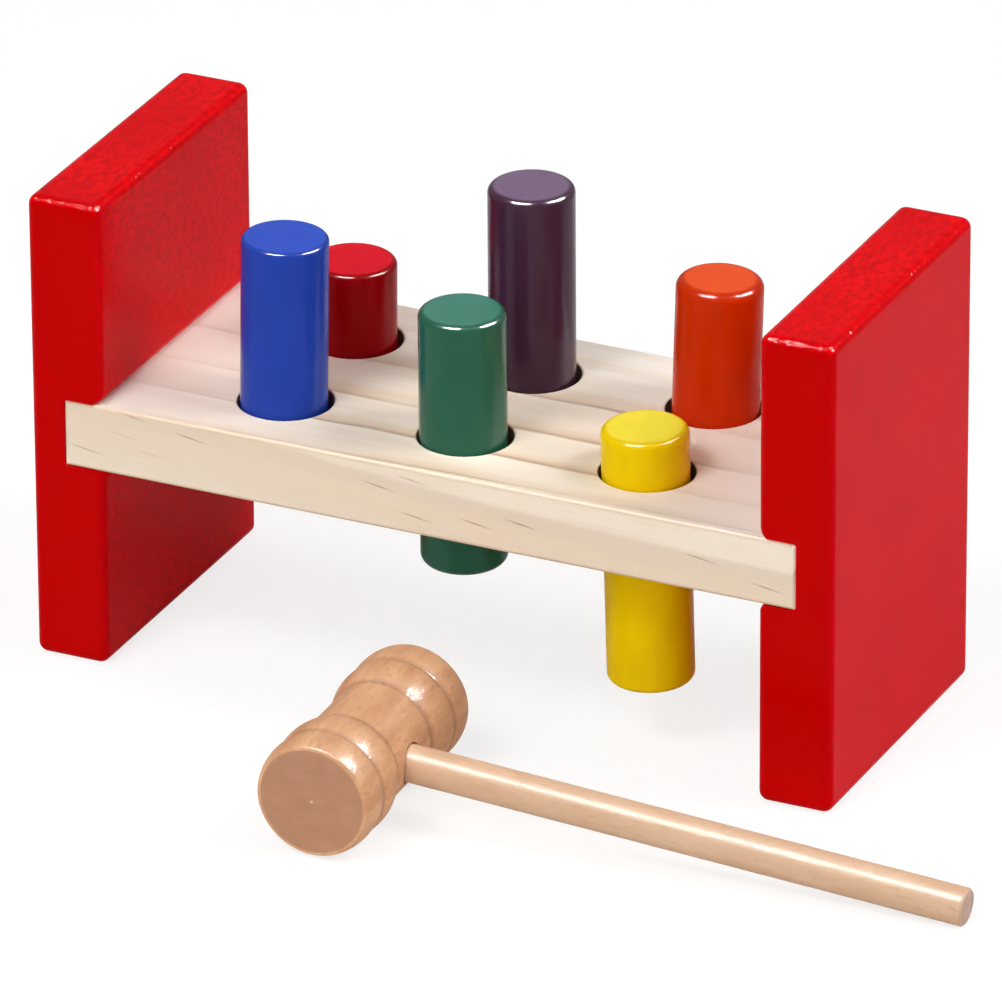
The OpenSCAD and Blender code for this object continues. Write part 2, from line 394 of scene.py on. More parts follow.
def resin_flecks(tree, place):
    """A mask that is strongest in the middle of each fleck and fades at its ends."""
    found = None
    for x, z, strength in FLECKS:
        middle = Vector((x * MM, FRONT_FACE, z * MM))
        off = add(tree, "ShaderNodeVectorMath", {0: place, 1: middle}, operation="SUBTRACT").outputs[0]
        part = add(tree, "ShaderNodeSeparateXYZ", {"Vector": off}).outputs
        side = reckon(tree, "MULTIPLY_ADD", part["X"], -GRAIN_SLOPE, part["Z"])
        near = add(
            tree,
            "ShaderNodeCombineXYZ",
            {
                "X": reckon(tree, "DIVIDE", part["X"], FLECK_LENGTH / 2),
                "Y": reckon(tree, "DIVIDE", part["Y"], FLECK_DEPTH),
                "Z": reckon(tree, "DIVIDE", side, FLECK_WIDTH / 2),
            },
        ).outputs[0]
        size = add(tree, "ShaderNodeVectorMath", {0: near}, operation="LENGTH").outputs["Value"]
        mask = between(tree, size, strength, 0.0, 0.1, 1.2)
        found = mask if found is None else reckon(tree, "MAXIMUM", found, mask)
    return found


print("resin flecks:", len(FLECKS))


# %% Pine
FIBRE_SIZE = 0.35 * MM
FIBRE_RELIEF = 0.03 * MM
STREAK_SIZE = 5 * MM
PINE_GLOSS = 0.1
SKIN_AND_FRONT_LIGHT_WOOD = paint(250, 235, 214)
FIBRE_TAN = paint(212, 178, 142)
STREAK_TAN = paint(236, 214, 190)
PAINTED_LIGHT_ENDS = paint(255, 255, 248)
RESIN_BROWN = paint(160, 118, 86)
EDGE_SHADE_TAN = paint(222, 192, 158)
HOLE_SHADE_BROWN = paint(92, 66, 52)
TOP_WARMTH = (1.0, 1.0, 0.98, 1.0)


def drilled_walls(tree, level, reach):
    """1 on the walls of the holes, which are painted dark brown as painted shade."""
    upright = reckon(tree, "LESS_THAN", reckon(tree, "ABSOLUTE", level), 0.5)
    inside_x = reckon(tree, "LESS_THAN", reckon(tree, "ABSOLUTE", reach["X"]), HOLES_REACH.x)
    inside_y = reckon(tree, "LESS_THAN", reckon(tree, "ABSOLUTE", reach["Y"]), HOLES_REACH.y)
    return reckon(tree, "MULTIPLY", upright, reckon(tree, "MULTIPLY", inside_x, inside_y))


def pine():
    """The rings first, then what lies over them: fibres, streaks, painted light on the ends and top, resin,
    and painted shade on the edges and in the holes.
    """
    material, tree, shader = new_finish("pine")
    seen = add(tree, "ShaderNodeTexCoord").outputs["Object"]
    place = add(tree, "ShaderNodeVectorMath", {0: seen, 1: BOARD_MIDDLE}, operation="SUBTRACT").outputs[0]
    rings = growth_rings(tree, place)
    reach = add(tree, "ShaderNodeSeparateXYZ", {"Vector": place}).outputs
    front = between(tree, reach["Y"], 1.0, 0.0, FRONT_FACE, FRONT_FACE + FRONT_SKIN)
    colour = ring_colours(tree, rings, front)
    # The whole front face is painted lighter, as painted light, and most where the last ring meets it
    front_light_share = between(tree, rings, 0.42, 0.75, 0.97, 1.0)
    colour = blend_colours(tree, reckon(tree, "MULTIPLY", front, front_light_share), colour, SKIN_AND_FRONT_LIGHT_WOOD)
    fibre = speckle(tree, surface_place(tree, (0.03, 1, 1), (0, GRAIN_SLOPE / 2, 0)), FIBRE_SIZE, 4.0, 0.65)
    streak = speckle(tree, surface_place(tree, (0.1, 1, 1)), STREAK_SIZE, 3.0)
    colour = blend_colours(tree, between(tree, fibre, 0.0, 0.14, 0.45, 0.8), colour, FIBRE_TAN)
    colour = blend_colours(tree, between(tree, streak, 0.0, 0.4, 0.42, 0.66), colour, STREAK_TAN)
    # The top is painted paler towards its ends and a touch warmer, as painted light that offsets the pink
    # bounce and the shade from the panels
    far_out = between(tree, reckon(tree, "ABSOLUTE", reach["X"]), 0.0, 0.95, PALE_START, PALE_END)
    above = between(tree, reach["Z"], 0.0, 1.0, BOARD_HALF - FRONT_SKIN, BOARD_HALF)
    colour = blend_colours(tree, reckon(tree, "MULTIPLY", far_out, above), colour, PAINTED_LIGHT_ENDS)
    colour = blend_colours(tree, above, colour, TOP_WARMTH, "MULTIPLY")
    flecks = reckon(tree, "MULTIPLY", resin_flecks(tree, place), between(tree, fibre, 0.6, 0.9, 0.3, 0.6))
    colour = blend_colours(tree, flecks, colour, RESIN_BROWN)
    facing = add(tree, "ShaderNodeNewGeometry").outputs["True Normal"]
    turned = add(tree, "ShaderNodeSeparateXYZ", {"Vector": facing}).outputs
    slope = reckon(tree, "ABSOLUTE", reckon(tree, "MULTIPLY", turned["Y"], turned["Z"]))
    # The rounded long edges are painted a darker tan, as painted shade
    colour = blend_colours(tree, between(tree, slope, 0.0, 0.75, 0.05, 0.4), colour, EDGE_SHADE_TAN)
    # The holes' walls are painted dark brown, as painted shade
    colour = blend_colours(tree, drilled_walls(tree, turned["Z"], reach), colour, HOLE_SHADE_BROWN)
    tree.links.new(colour, shader.inputs["Base Color"])
    tree.links.new(between(tree, fibre, 0.34, 0.5), shader.inputs["Roughness"])
    tree.links.new(relief(tree, fibre, FIBRE_RELIEF), shader.inputs["Normal"])
    shader.inputs["Specular IOR Level"].default_value = PINE_GLOSS
    return material


PINE = pine()
print("finish:", PINE.name, "with", len(PINE.node_tree.nodes), "nodes")

# %% [markdown]
# ## Peg enamel
# The pegs are dipped or sprayed with a glossy, opaque enamel. One function makes all six
# finishes. A gloss surface never dries quite flat: long shallow waves bend its highlights,
# and a few specks of dust are caught in it. The flat ends are painted lighter than the side,
# as painted light, and the side darker, as painted shade; the ends are also a little
# mottled. The value flat_end says where they are.


# %% Peg enamel
WAVE_SIZE = 5 * MM
GRIT_SIZE = 0.9 * MM
GRIT_HEIGHT = 0.1
WAVE_DEPTH = 0.12 * MM
THICK_PAINT = (0.82, 0.82, 0.82, 1.0)


def peg_enamel(name, end, side, gloss):
    """end and side are the paints of the flat ends, lighter as painted light, and of the side, darker as
    painted shade, and gloss is how much it mirrors.
    """
    material, tree, shader = new_finish(name)
    wave = speckle(tree, surface_place(tree, (1, 1, 0.35)), WAVE_SIZE, 1.0)
    grit = speckle(tree, surface_place(tree), GRIT_SIZE, 2.0)
    flat_end = add(tree, "ShaderNodeAttribute", attribute_name="flat_end").outputs["Fac"]
    # The ends get a lighter paint and the side a darker one, as painted light and painted shade
    colour = blend_colours(tree, flat_end, side, end)
    deeper = blend_colours(tree, 1.0, colour, THICK_PAINT, "MULTIPLY")
    mottled = reckon(tree, "MULTIPLY", flat_end, between(tree, grit, 0.0, 0.28, 0.42, 0.62))
    streaked = between(tree, wave, 0.0, 0.4, 0.35, 0.75)
    colour = blend_colours(tree, reckon(tree, "MAXIMUM", mottled, streaked), colour, deeper)
    height = reckon(tree, "MULTIPLY_ADD", grit, GRIT_HEIGHT, wave)
    tree.links.new(colour, shader.inputs["Base Color"])
    tree.links.new(between(tree, grit, 0.15, 0.22, 0.3, 0.7), shader.inputs["Roughness"])
    tree.links.new(relief(tree, height, WAVE_DEPTH), shader.inputs["Normal"])
    shader.inputs["Specular IOR Level"].default_value = gloss
    return material


# For each peg, the paint of its flat ends, lighter as painted light, the paint of its side, darker as
# painted shade, and its gloss
PEG_PAINTS = {
    "blue": (paint(48, 84, 202), paint(34, 66, 172), 0.10),
    "green": (paint(64, 132, 114), paint(34, 94, 72), 0.20),
    "yellow": (paint(255, 234, 64), paint(243, 204, 1), 0.05),
    "red": (paint(232, 1, 32), paint(158, 2, 9), 0.06),
    "purple": (paint(124, 98, 128), paint(66, 36, 58), 0.22),
    "orange": (paint(241, 86, 34), paint(202, 47, 1), 0.06),
}
PEG_FINISHES = {
    colour: peg_enamel(colour + "_peg_enamel", *paints) for colour, paints in PEG_PAINTS.items()
}
print("peg finishes:", ", ".join(PEG_FINISHES))

# %% [markdown]
# ## Lacquered beech
# Beech is a pinkish tan wood with short dark dashes, its rays. The mallet's head was turned
# with the grain along it, so its flanks show long fibres and its struck faces show end grain,
# which drinks the lacquer and turns browner. The clear gloss coat lies on top. Small lumps and
# the lathe's fine rings stand out through it, which breaks up the highlights. The lathe's
# centre left a small pale mark in the middle of each face.

# %% Where the mallet lies
MALLET_TURN = math.radians(1.44)
HEAD_LENGTH = 61 * MM
HEAD_DIAMETER = 30.6 * MM
WAIST_DIAMETER = 26.8 * MM
HANDLE_DIAMETER = 9.6 * MM
HANDLE_LENGTH = 164.9 * MM
SOCKET_DEPTH = 20 * MM
SOCKET_OFFSET = -0.7 * MM
GLUE_GAP = 0.1 * MM
HANDLE_CHAMFER = 0.5 * MM
handle_start = WAIST_DIAMETER / 2 - SOCKET_DEPTH + GLUE_GAP
rim_reach = handle_start + HANDLE_LENGTH - HANDLE_CHAMFER
handle_drop = math.asin(HEAD_DIAMETER / 2 / math.hypot(rim_reach, HANDLE_DIAMETER / 2)) - math.atan(
    HANDLE_DIAMETER / 2 / rim_reach
)
head_low, head_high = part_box("mallet_head")
MALLET_PLACE = (
    Matrix.Translation((head_low + head_high) / 2)
    @ Matrix.Rotation(MALLET_TURN, 4, "Z")
    @ Matrix.Rotation(handle_drop, 4, "Y")
)
print("the handle drops", round(math.degrees(handle_drop), 2), "degrees from the head to the floor")


# %% Lacquered beech
BEECH_FIBRE_SIZE = 0.5 * MM
BEECH_CLOUD_SIZE = 5 * MM
RAY_SIZE = 0.7 * MM
PORE_SIZE = 0.55 * MM
LATHE_RING_SIZE = 0.6 * MM
LUMP_SIZE = 0.8 * MM
GRAIN_RELIEF = 0.05 * MM
CENTRE_MARK = 0.5 * MM
MARK_TAN = paint(236, 204, 176)
CREASE_DARK_BROWN = paint(124, 74, 46)
COAT_ROUGHNESS = 0.14
BARE_GLOSS = 0.06


def beech(name, grain, colours, ray_share, broken, gloss):
    """grain squeezes the pattern along the mallet's axes. ray_share is how dark the rays are,
    broken is how deep the lacquer ripples, and gloss is how much the lacquer mirrors."""
    light, mid, ray = colours
    material, tree, shader = new_finish(name)
    seen = add(tree, "ShaderNodeTexCoord").outputs["Object"]
    turn_back = MALLET_PLACE.to_3x3().inverted().to_euler()
    from_head = add(
        tree, "ShaderNodeVectorMath", {0: seen, 1: MALLET_PLACE.translation}, operation="SUBTRACT"
    ).outputs[0]
    local = add(
        tree,
        "ShaderNodeVectorRotate",
        {"Vector": from_head, "Rotation": turn_back},
        rotation_type="EULER_XYZ",
    ).outputs[0]
    stretched = add(tree, "ShaderNodeVectorMath", {0: local, 1: grain}, operation="MULTIPLY").outputs[0]
    fibre = speckle(tree, stretched, BEECH_FIBRE_SIZE, 4.0, 0.6)
    cloud = speckle(tree, stretched, BEECH_CLOUD_SIZE, 3.0, 0.6)
    dashes = speckle(tree, stretched, RAY_SIZE, 1.0)
    pores = speckle(tree, local, PORE_SIZE)
    turned = add(
        tree, "ShaderNodeVectorMath", {0: local, 1: (0.2, 1, 0.2)}, operation="MULTIPLY"
    ).outputs[0]
    lathe_rings = speckle(tree, turned, LATHE_RING_SIZE, 1.0)
    colour = blend_colours(tree, between(tree, cloud, 0.0, 1.0, 0.32, 0.68), light, mid)
    colour = blend_colours(tree, between(tree, fibre, 0.0, 0.4, 0.42, 0.75), colour, mid)
    colour = blend_colours(tree, between(tree, dashes, 0.0, ray_share, 0.62, 0.72), colour, ray)
    # Darker brown in the valleys between the beads and at the cove's edges
    crease_darkening = add(tree, "ShaderNodeAttribute", attribute_name="crease_darkening").outputs["Fac"]
    crease_dark = reckon(tree, "MULTIPLY", crease_darkening, between(tree, pores, 0.6, 1.0, 0.35, 0.6))
    colour = blend_colours(tree, crease_dark, colour, CREASE_DARK_BROWN)
    off_axis = add(tree, "ShaderNodeVectorMath", {0: local, 1: (1, 0, 1)}, operation="MULTIPLY").outputs[0]
    from_axis = add(tree, "ShaderNodeVectorMath", {0: off_axis}, operation="LENGTH").outputs["Value"]
    marked = between(tree, from_axis, 0.7, 0.0, CENTRE_MARK / 2, CENTRE_MARK)
    colour = blend_colours(tree, marked, colour, MARK_TAN)
    tree.links.new(colour, shader.inputs["Base Color"])
    tree.links.new(between(tree, fibre, 0.34, 0.5), shader.inputs["Roughness"])
    tree.links.new(relief(tree, fibre, GRAIN_RELIEF), shader.inputs["Normal"])
    lumps = speckle(tree, local, LUMP_SIZE, 0.0)
    coat = relief(tree, lumps, broken, relief(tree, lathe_rings, broken / 3))
    tree.links.new(coat, shader.inputs["Coat Normal"])
    shader.inputs["Coat Weight"].default_value = gloss
    shader.inputs["Coat Roughness"].default_value = COAT_ROUGHNESS
    shader.inputs["Specular IOR Level"].default_value = BARE_GLOSS
    return material


# Each part's light wood, middle wood and rays
HEAD_COLOURS = (paint(234, 184, 142), paint(208, 152, 111), paint(168, 112, 76))
FACE_COLOURS = (paint(195, 145, 114), paint(184, 134, 103), paint(164, 114, 86))
DOWEL_COLOURS = (paint(226, 190, 158), paint(215, 175, 142), paint(184, 138, 104))
END_COLOURS = (paint(220, 188, 172), paint(198, 164, 146), paint(160, 126, 108))
SIDE_RIPPLE = 0.14 * MM
END_RIPPLE = 0.05 * MM
HEAD_BEECH = beech("turned_beech", (1, 0.25, 1), HEAD_COLOURS, 0.3, SIDE_RIPPLE, 0.11)
FACE_BEECH = beech("end_grain_beech", (0.7, 1, 1), FACE_COLOURS, 0.12, END_RIPPLE, 0.12)
HANDLE_BEECH = beech("dowel_beech", (0.2, 1, 1), DOWEL_COLOURS, 0.3, SIDE_RIPPLE, 0.04)
DOWEL_END_BEECH = beech("dowel_end_beech", (1, 1, 1), END_COLOURS, 0.4, END_RIPPLE, 0.05)
print("beech finishes:", HEAD_BEECH.name, FACE_BEECH.name, HANDLE_BEECH.name, DOWEL_END_BEECH.name)

# %% [markdown]
# ## Rubber
# The friction rings sit deep in the board. They are plain black rubber, matt, with the fine
# bloom that old rubber gets.


# %% Rubber
BLOOM_SIZE = 0.8 * MM
BLOOM_RELIEF = 0.02 * MM


def rubber():
    """Black rubber under a fine grey bloom."""
    material, tree, shader = new_finish("ring_rubber")
    bloom = speckle(tree, surface_place(tree), BLOOM_SIZE, 3.0)
    colour = blend_colours(tree, bloom, paint(26, 26, 28), paint(44, 44, 46))
    tree.links.new(colour, shader.inputs["Base Color"])
    tree.links.new(between(tree, bloom, 0.6, 0.85), shader.inputs["Roughness"])
    tree.links.new(relief(tree, bloom, BLOOM_RELIEF), shader.inputs["Normal"])
    return material


RING_RUBBER = rubber()


def dress(piece, finish):
    """Gives a piece one finish in place of any it has."""
    piece.data.materials.clear()
    piece.data.materials.append(finish)


PEG_COLOURS = list(PEG_PAINTS)
for colour in PEG_COLOURS:
    dress(frame["nodes"][colour + "_peg_ring"], RING_RUBBER)
dress(frame["nodes"]["board"], PINE)
print("rings in rubber:", len(PEG_COLOURS))

# %% [markdown]
# ## Making a mesh
# The panels, the pegs and the mallet are all rows of points joined into a skin. A panel's rows
# are slices from front to back, and a turned piece's rows are circles up its axis. One function
# joins the rows, and closes both ends.


# %% Join rows of points into a piece
CREASE = math.radians(40)
MERGE_REACH = 0.001 * MM


def skin_rows(name, rows, finish, marks=None):
    """rows are closed loops with the same number of points. Both ends are closed flat.
    marks gives each point a value, under a name that the finish asks for."""
    shape = bmesh.new()
    marks = marks or {}
    layers = {label: shape.verts.layers.float.new(label) for label in marks}
    loops = [[shape.verts.new(point) for point in row] for row in rows]
    for label, layer in layers.items():
        for vertex, value in zip(shape.verts, marks[label]):
            vertex[layer] = value
    count = len(rows[0])
    for one, other in zip(loops, loops[1:]):
        for i in range(count):
            j = (i + 1) % count
            shape.faces.new((one[i], one[j], other[j], other[i]))
    shape.faces.new(list(reversed(loops[0])))
    shape.faces.new(loops[-1])
    bmesh.ops.remove_doubles(shape, verts=shape.verts, dist=MERGE_REACH)
    bmesh.ops.recalc_face_normals(shape, faces=shape.faces)
    for face in shape.faces:
        face.smooth = True
    for edge in shape.edges:
        edge.smooth = edge.calc_face_angle(0.0) < CREASE
    mesh = bpy.data.meshes.new(name)
    shape.to_mesh(mesh)
    shape.free()
    piece = bpy.data.objects.new(name, mesh)
    bpy.context.scene.collection.objects.link(piece)
    mesh.materials.append(finish)
    # Big flat faces decide the shading, so that the roundings run out cleanly into them
    weights = piece.modifiers.new("flat_faces_lead", "WEIGHTED_NORMAL")
    weights.keep_sharp = True
    return piece


def stand_for(piece, node, body):
    """Puts a new piece in the place of an engineering solid."""
    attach(piece, body)
    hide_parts(node)
    return piece


print("faces shade smoothly where they meet by less than", round(math.degrees(CREASE)), "degrees")

# %% [markdown]
# ## The end panels
# Each panel is a thick block with all its edges rounded and a housing cut across its inner
# face for the board. The block is sliced from front to back. Every slice has the same outline,
# drawn in a little near the front and the back by just as much as a ball rolling round the
# corner would leave, and that makes the true ball corners of a sanded block.

# %% The outline of a panel
PANEL_ROUND = 2.7 * MM
BOARD_THICKNESS = 17.9 * MM
HOUSING_DEPTH = 10.3 * MM
ARC_STEPS = 8
panel_low, panel_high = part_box("right_end_panel")
PANEL_SIZE = panel_high - panel_low
ARC_ANGLES = [math.pi / 2 * i / ARC_STEPS for i in range(ARC_STEPS + 1)]


def rounded_corner(before, corner, after, radius):
    """Points on an arc round one corner of an outline, each with the way that it faces."""
    towards = (before - corner).normalized()
    away = (after - corner).normalized()
    centre = corner + (towards + away) * radius
    facing = [-away * math.cos(angle) - towards * math.sin(angle) for angle in ARC_ANGLES]
    return [(centre + way * radius, way) for way in facing]


def panel_outline(draw_in):
    """The right panel's outline from its middle, seen from the front, with its edges drawn in."""
    x = PANEL_SIZE.x / 2 - draw_in
    z = PANEL_SIZE.z / 2 - draw_in
    mouth = BOARD_THICKNESS / 2
    floor_x = HOUSING_DEPTH - PANEL_SIZE.x / 2
    upward = Vector((0, 1))
    before_housing = [Vector(p) for p in ((-x, -z), (x, -z), (x, z), (-x, z), (-x, mouth))]
    corners = before_housing + [Vector((floor_x, mouth)), Vector((floor_x, -mouth)), Vector((-x, -mouth))]
    points = []
    for i, corner in enumerate(corners):
        if corner.x == floor_x:
            points.append((corner, upward))
        else:
            after = corners[(i + 1) % len(corners)]
            radius = max(0.0, PANEL_ROUND - draw_in)
            points += rounded_corner(corners[i - 1], corner, after, radius)
    return points


print("points in a panel's outline:", len(panel_outline(0.0)))

# %% Build both panels
INNER_PEEL = 0.55
FACE_INSET = 0.3 * MM
FULL_CREST = 0.5
EVEN_CORNER = 1 - math.sqrt(0.5)


def end_panel(name, side):
    """side is 1 for the right panel and -1 for the left one, which is its mirror image.
    Its top and foot peel most and its inner face less. Drops gather on the upper edges."""
    low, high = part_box(name)
    middle = (low + high) / 2
    half_depth = PANEL_SIZE.y / 2
    front_half = [(0.0, PANEL_ROUND + FACE_INSET, -half_depth)]
    for angle in ARC_ANGLES:
        front_half.append(
            (angle, PANEL_ROUND * (1 - math.sin(angle)), PANEL_ROUND * (1 - math.cos(angle)) - half_depth)
        )
    slices = front_half + [(angle, draw_in, -y) for angle, draw_in, y in reversed(front_half)]
    rows = []
    marks = {"orange_peel": [], "front_edge": [], "round_edge": []}
    for angle, draw_in, y in slices:
        row = []
        for point, way in panel_outline(draw_in):
            row.append(middle + Vector((side * point.x, y, point.y)))
            across, high_share = way * math.sin(angle)
            flattest = max(abs(across), abs(high_share), math.cos(angle))
            # orange_peel also sets the painted light on the top and foot and the painted shade on the outer
            # faces
            marks["orange_peel"].append(max(abs(high_share), -across * INNER_PEEL, 0.0))
            marks["front_edge"].append(math.cos(angle))
            # round_edge is 1 on the upward rounded edges, where the painted highlight and the drops go
            upward = min(1.0, max(0.0, high_share) / FULL_CREST)
            marks["round_edge"].append(upward * (1 - flattest) / EVEN_CORNER)
        rows.append(row)
    panel = skin_rows(name + "_painted", rows, RED_ENAMEL, marks)
    return stand_for(panel, name, "bench")


for name, side in (("left_end_panel", -1), ("right_end_panel", 1)):
    made = end_panel(name, side)
    print(made.name, "has", len(made.data.polygons), "faces")

# %% [markdown]
# ## The pegs
# A peg is a round dowel with both ends softened. It is turned from a profile, a list of
# distances from the axis and heights along it. The softening was done by hand and isn't the
# same on every peg, so each colour has its own. The holes are loose and every peg leans a
# little: its direction is the one in which the real joint slides.

# %% Turn a piece from its profile
AROUND = 128


def turned_rows(profile, place):
    """Circles of points for a profile of (distance from the axis, height along it)."""
    rows = []
    for radius, height in profile:
        row = []
        for i in range(AROUND):
            angle = 2 * math.pi * i / AROUND
            row.append(place @ Vector((radius * math.cos(angle), radius * math.sin(angle), height)))
        rows.append(row)
    return rows


print("points round a turned piece:", AROUND)

# %% Turn the pegs
END_INSET = 0.4 * MM


def softened_end(radius, height, softening, up):
    """Profile points of one end, from the flat disc over the rounding to the side."""
    points = [(radius - softening - END_INSET, height)]
    for i in range(ARC_STEPS + 1):
        angle = math.pi / 2 * i / ARC_STEPS
        points.append(
            (radius - softening * (1 - math.sin(angle)), height - up * softening * (1 - math.cos(angle)))
        )
    return points


PEG_RADIUS = 10.9 * MM
PEG_LENGTH = 67.8 * MM
# In mm, for each peg's top and foot
TOP_SOFTENING = {"blue": 1.2, "green": 1.8, "yellow": 1.9, "red": 1.6, "purple": 1.9, "orange": 2.6}
FOOT_SOFTENING = {"blue": 1.8, "green": 2.6, "yellow": 1.8, "red": 3.2, "purple": 1.8, "orange": 2.0}
# A high power, so that the end's paint stops where the rounding starts and the rounding takes the side's
# painted shade
FLAT_FALL_OFF = 30
slides = {joint["child"]: Vector(joint["axis"]).normalized() for joint in frame["joints"]}


def peg(colour):
    """A leaning, softened dowel in place of the engineering peg of that colour."""
    low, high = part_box(colour + "_peg")
    lean = slides[colour + "_peg"].to_track_quat("Z", "Y").to_matrix().to_4x4()
    place = Matrix.Translation((low + high) / 2) @ lean
    foot = softened_end(PEG_RADIUS, -PEG_LENGTH / 2, FOOT_SOFTENING[colour] * MM, -1)
    top = softened_end(PEG_RADIUS, PEG_LENGTH / 2, TOP_SOFTENING[colour] * MM, 1)
    rows = turned_rows(foot + list(reversed(top)), place)
    piece = skin_rows(colour + "_peg_painted", rows, PEG_FINISHES[colour])
    flat_end = piece.data.attributes.new("flat_end", "FLOAT", "POINT")
    for vertex, value in zip(piece.data.vertices, flat_end.data):
        value.value = abs(vertex.normal.dot(slides[colour + "_peg"])) ** FLAT_FALL_OFF
    return stand_for(piece, colour + "_peg", colour + "_peg")


for colour in PEG_COLOURS:
    made = peg(colour)
    print(made.name, "softened by", TOP_SOFTENING[colour], "mm at the top")

# %% [markdown]
# ## The mallet's head
# The head is turned on a lathe: a waist that swells a little, two beads at each end, and flat
# struck faces. The profile is worked out as the largest of those curves at each place along
# the head, so the valleys between them stay crisp. A fine V is cut in the valley between the
# beads, as the turner's parting line. The socket for the handle is cut out with a Boolean.

# %% Shape of the head
BEAD_CROWN = 15 * MM
BEAD_PLACES = [place * MM for place in (5.2, 13.6)]
WAIST_SWELL = 0.4 * MM
FACE_SOFTENING = 0.5 * MM
LINE_DEPTH = 0.08 * MM
LINE_HALF_WIDTH = 0.35 * MM
PROFILE_STEP = 0.3 * MM
SOFTENING_STEPS = (0.05, 0.15, 0.35, 0.65)
head_radius = HEAD_DIAMETER / 2
waist_radius = WAIST_DIAMETER / 2
waist_half = HEAD_LENGTH / 2 - BEAD_PLACES[1]
waist_curve = (waist_half**2 + WAIST_SWELL**2) / (2 * WAIST_SWELL)
valley = HEAD_LENGTH / 2 - sum(BEAD_PLACES) / 2
cove_edge = HEAD_LENGTH / 2 - BEAD_PLACES[1] - math.sqrt(
    BEAD_CROWN**2 - (waist_radius + WAIST_SWELL / 2 - head_radius + BEAD_CROWN) ** 2
)
# The valleys and the cove's edges are coloured darker brown, out to this far on each side
CREASE_DARK_REACH = 1.2 * MM
CREASE_DARK_SHARE = 0.5


def head_radius_at(along):
    """Radius of the turned head at a distance from its middle."""
    reach = abs(along)
    found = waist_radius
    if reach < waist_half:
        found += waist_curve - math.sqrt(waist_curve**2 - reach**2)
    for place in BEAD_PLACES:
        off = reach - (HEAD_LENGTH / 2 - place)
        if abs(off) < BEAD_CROWN:
            found = max(found, head_radius - BEAD_CROWN + math.sqrt(BEAD_CROWN**2 - off**2))
    line = LINE_DEPTH * max(0.0, 1 - abs(reach - valley) / LINE_HALF_WIDTH)
    edge = HEAD_LENGTH / 2 - reach
    softened = 0.0
    if edge < FACE_SOFTENING:
        softened = FACE_SOFTENING - math.sqrt(FACE_SOFTENING**2 - (FACE_SOFTENING - edge) ** 2)
    return found - line - softened


def head_profile():
    """Profile from one struck face to the other, with extra points where it turns sharply."""
    steps = int(HEAD_LENGTH / PROFILE_STEP)
    places = {-HEAD_LENGTH / 2 + HEAD_LENGTH * i / steps for i in range(steps + 1)}
    for sign in (-1, 1):
        for off in (-LINE_HALF_WIDTH, 0, LINE_HALF_WIDTH):
            places.add(sign * (valley + off))
        places.add(sign * cove_edge)
        for share in SOFTENING_STEPS:
            places.add(sign * (HEAD_LENGTH / 2 - FACE_SOFTENING * share))
    points = [(head_radius_at(place), place) for place in sorted(places)]
    rim = points[0][0] - FACE_INSET
    return [(rim, -HEAD_LENGTH / 2)] + points + [(rim, HEAD_LENGTH / 2)]


print("the head's valley lies", round((HEAD_LENGTH / 2 - valley) / MM, 1), "mm from its face")


# %% Build the head and cut its socket
def finish_ends(piece, finish):
    """The flat ends, the only faces with more than four corners, get a finish of their own."""
    piece.data.materials.append(finish)
    for face in piece.data.polygons:
        if len(face.vertices) > 4:
            face.material_index = 1


head_lathe = MALLET_PLACE @ Matrix.Rotation(math.radians(-90), 4, "X")
mallet_head = skin_rows("mallet_head_turned", turned_rows(head_profile(), head_lathe), HEAD_BEECH)
# The head's valleys and cove edges are marked for a darker brown
crease_darkening = mallet_head.data.attributes.new("crease_darkening", "FLOAT", "POINT")
lathe_back = head_lathe.inverted()
for vertex, value in zip(mallet_head.data.vertices, crease_darkening.data):
    reach = abs((lathe_back @ vertex.co).z)
    off = min(abs(reach - valley), abs(reach - cove_edge))
    value.value = CREASE_DARK_SHARE * max(0.0, 1 - off / CREASE_DARK_REACH)
finish_ends(mallet_head, FACE_BEECH)
socket_axis = MALLET_PLACE @ Matrix.Translation((0, SOCKET_OFFSET, 0))
handle_lathe = socket_axis @ Matrix.Rotation(math.radians(90), 4, "Y")
SOCKET_GAP = 0.25 * MM
socket_radius = HANDLE_DIAMETER / 2 + SOCKET_GAP
socket_rows = [(socket_radius, waist_radius - SOCKET_DEPTH), (socket_radius, HEAD_DIAMETER)]
cutter = skin_rows("socket_cutter", turned_rows(socket_rows, handle_lathe), HEAD_BEECH)
cut = mallet_head.modifiers.new("socket", "BOOLEAN")
cut.object = cutter
cut.operation = "DIFFERENCE"
cut.solver = "EXACT"
bpy.context.view_layer.objects.active = mallet_head
bpy.ops.object.modifier_move_to_index(modifier="socket", index=0)
bpy.ops.object.modifier_apply(modifier="socket")
bpy.data.objects.remove(cutter)
stand_for(mallet_head, "mallet_head", "mallet")
print("head faces after the cut:", len(mallet_head.data.polygons))

# %% [markdown]
# ## The mallet's handle
# The handle is a plain dowel. No dowel is perfectly straight or round, and a long highlight
# gives that away, so its radius wanders by a few hundredths of a millimetre along it.

# %% Turn the handle
HANDLE_STEP = 2 * MM
HANDLE_INSET = 0.2 * MM
HANDLE_WANDER = 0.05 * MM
HANDLE_WANDER_LENGTH = 9 * MM
NOISE_LINE = (0.3, 0.7)


